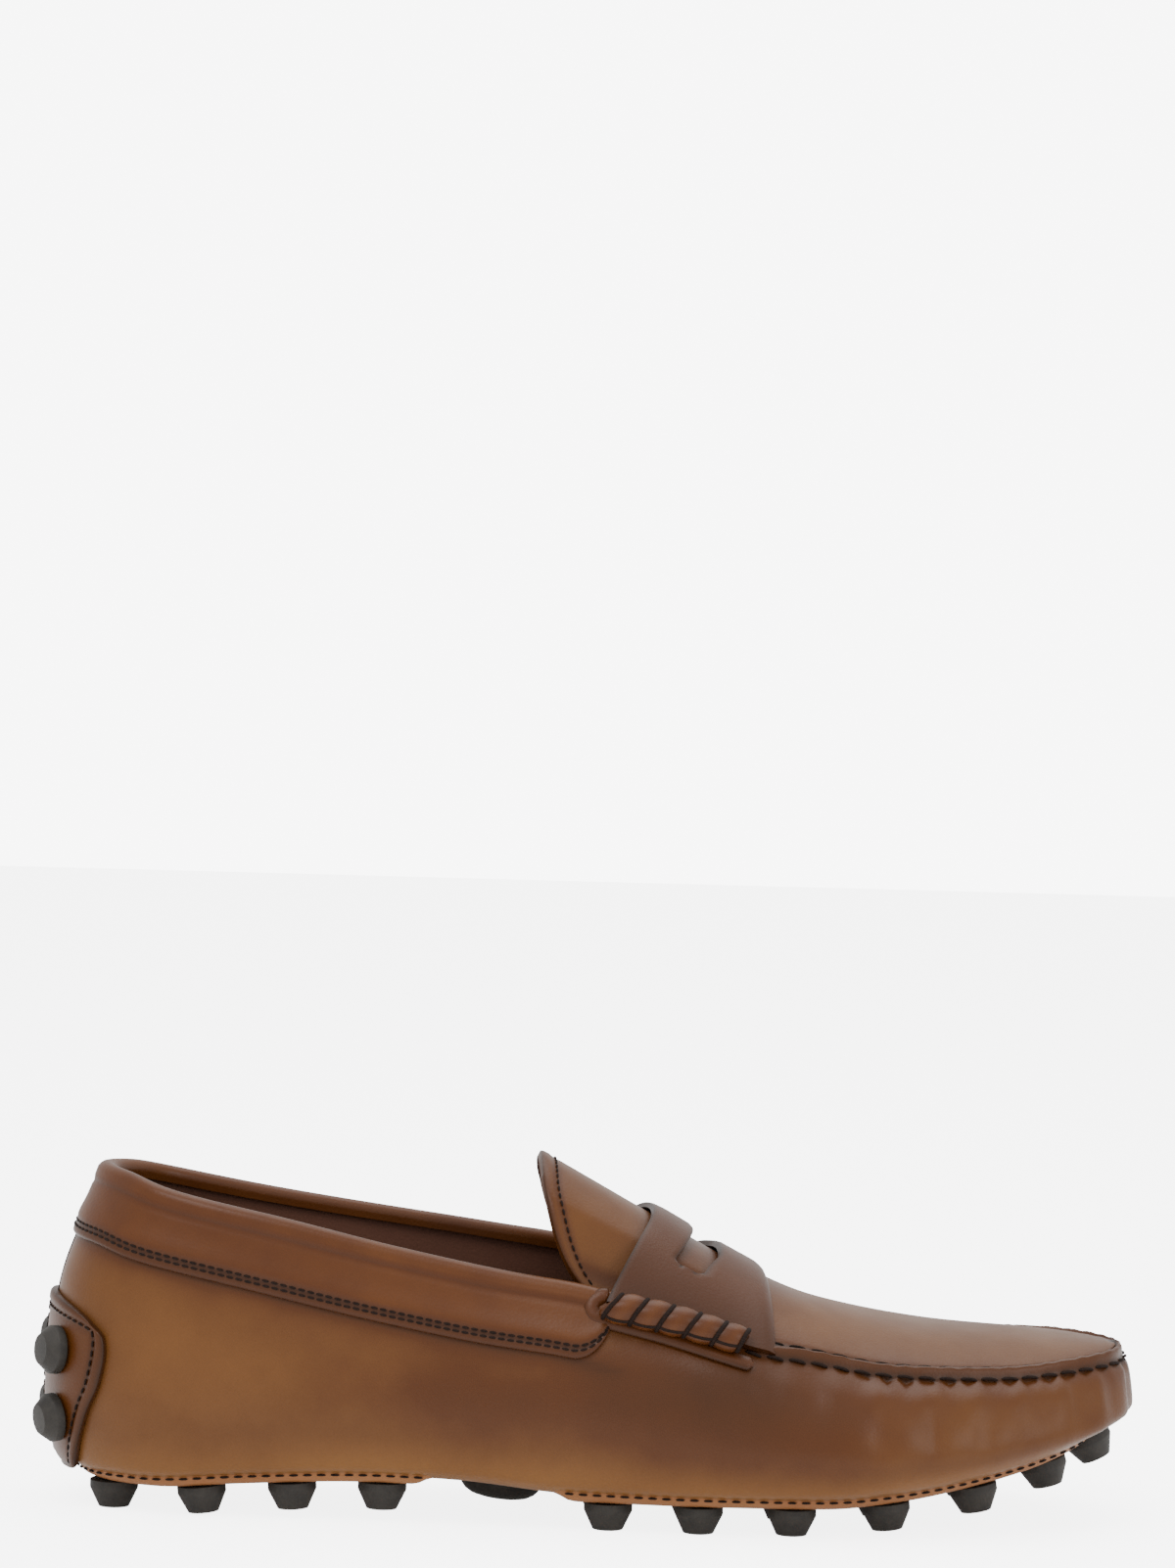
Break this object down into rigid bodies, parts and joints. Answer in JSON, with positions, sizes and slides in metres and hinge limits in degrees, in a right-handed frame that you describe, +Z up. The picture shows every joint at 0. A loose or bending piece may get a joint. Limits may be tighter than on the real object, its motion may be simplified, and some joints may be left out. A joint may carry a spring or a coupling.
{
  "type": "driving moccasin",
  "caption": "Right driving moccasin in brown leather: sewn apron, saddle strap with a cut slot, raised tongue and round rubber studs under the sole and up the heel.",
  "frame": {"origin": "middle of the shoe's box, on the floor that its studs stand on", "axes": "+X towards the toe, +Y towards the medial side, +Z up"},
  "size_m": [0.2946, 0.1018, 0.0958],
  "materials": {
    "leather_body": "smooth burnished calf, semi-gloss",
    "leather_strap": "smooth burnished calf, semi-gloss",
    "leather_band": "smooth burnished calf, semi-gloss",
    "leather_sole": "plain leather, satin",
    "leather_lining": "matte lining leather",
    "rubber_stud": "matte moulded rubber"
  },
  "bodies": {
    "root": {"arch_disc": "rubber_stud", "collar_band": "leather_band", "heel_patch": "leather_body", "insole": "leather_lining", "saddle_strap": "leather_strap", "sole_forefoot": "leather_sole", "sole_heel": "leather_sole", "strap_roll_lateral": "leather_strap", "strap_roll_medial": "leather_strap", "stud_back_high_lateral": "rubber_stud", "stud_back_high_medial": "rubber_stud", "stud_back_low_lateral": "rubber_stud", "stud_back_low_medial": "rubber_stud", "stud_fore_1_1": "rubber_stud", "stud_fore_1_2": "rubber_stud", "stud_fore_1_3": "rubber_stud", "stud_fore_2_1": "rubber_stud", "stud_fore_2_2": "rubber_stud", "stud_fore_2_3": "rubber_stud", "stud_fore_2_4": "rubber_stud", "stud_fore_3_1": "rubber_stud", "stud_fore_3_2": "rubber_stud", "stud_fore_3_3": "rubber_stud", "stud_fore_3_4": "rubber_stud", "stud_fore_4_1": "rubber_stud", "stud_fore_4_2": "rubber_stud", "stud_fore_4_3": "rubber_stud", "stud_fore_4_4": "rubber_stud", "stud_fore_5_1": "rubber_stud", "stud_fore_5_2": "rubber_stud", "stud_fore_5_3": "rubber_stud", "stud_fore_6_1": "rubber_stud", "stud_fore_6_2": "rubber_stud", "stud_heel_1_1": "rubber_stud", "stud_heel_1_2": "rubber_stud", "stud_heel_2_1": "rubber_stud", "stud_heel_2_2": "rubber_stud", "stud_heel_2_3": "rubber_stud", "stud_heel_3_1": "rubber_stud", "stud_heel_3_2": "rubber_stud", "stud_heel_3_3": "rubber_stud", "stud_heel_4_1": "rubber_stud", "stud_heel_4_2": "rubber_stud", "stud_heel_4_3": "rubber_stud", "stud_toe": "rubber_stud", "tongue": "leather_body", "upper": "leather_body"}
  },
  "joints": []
}
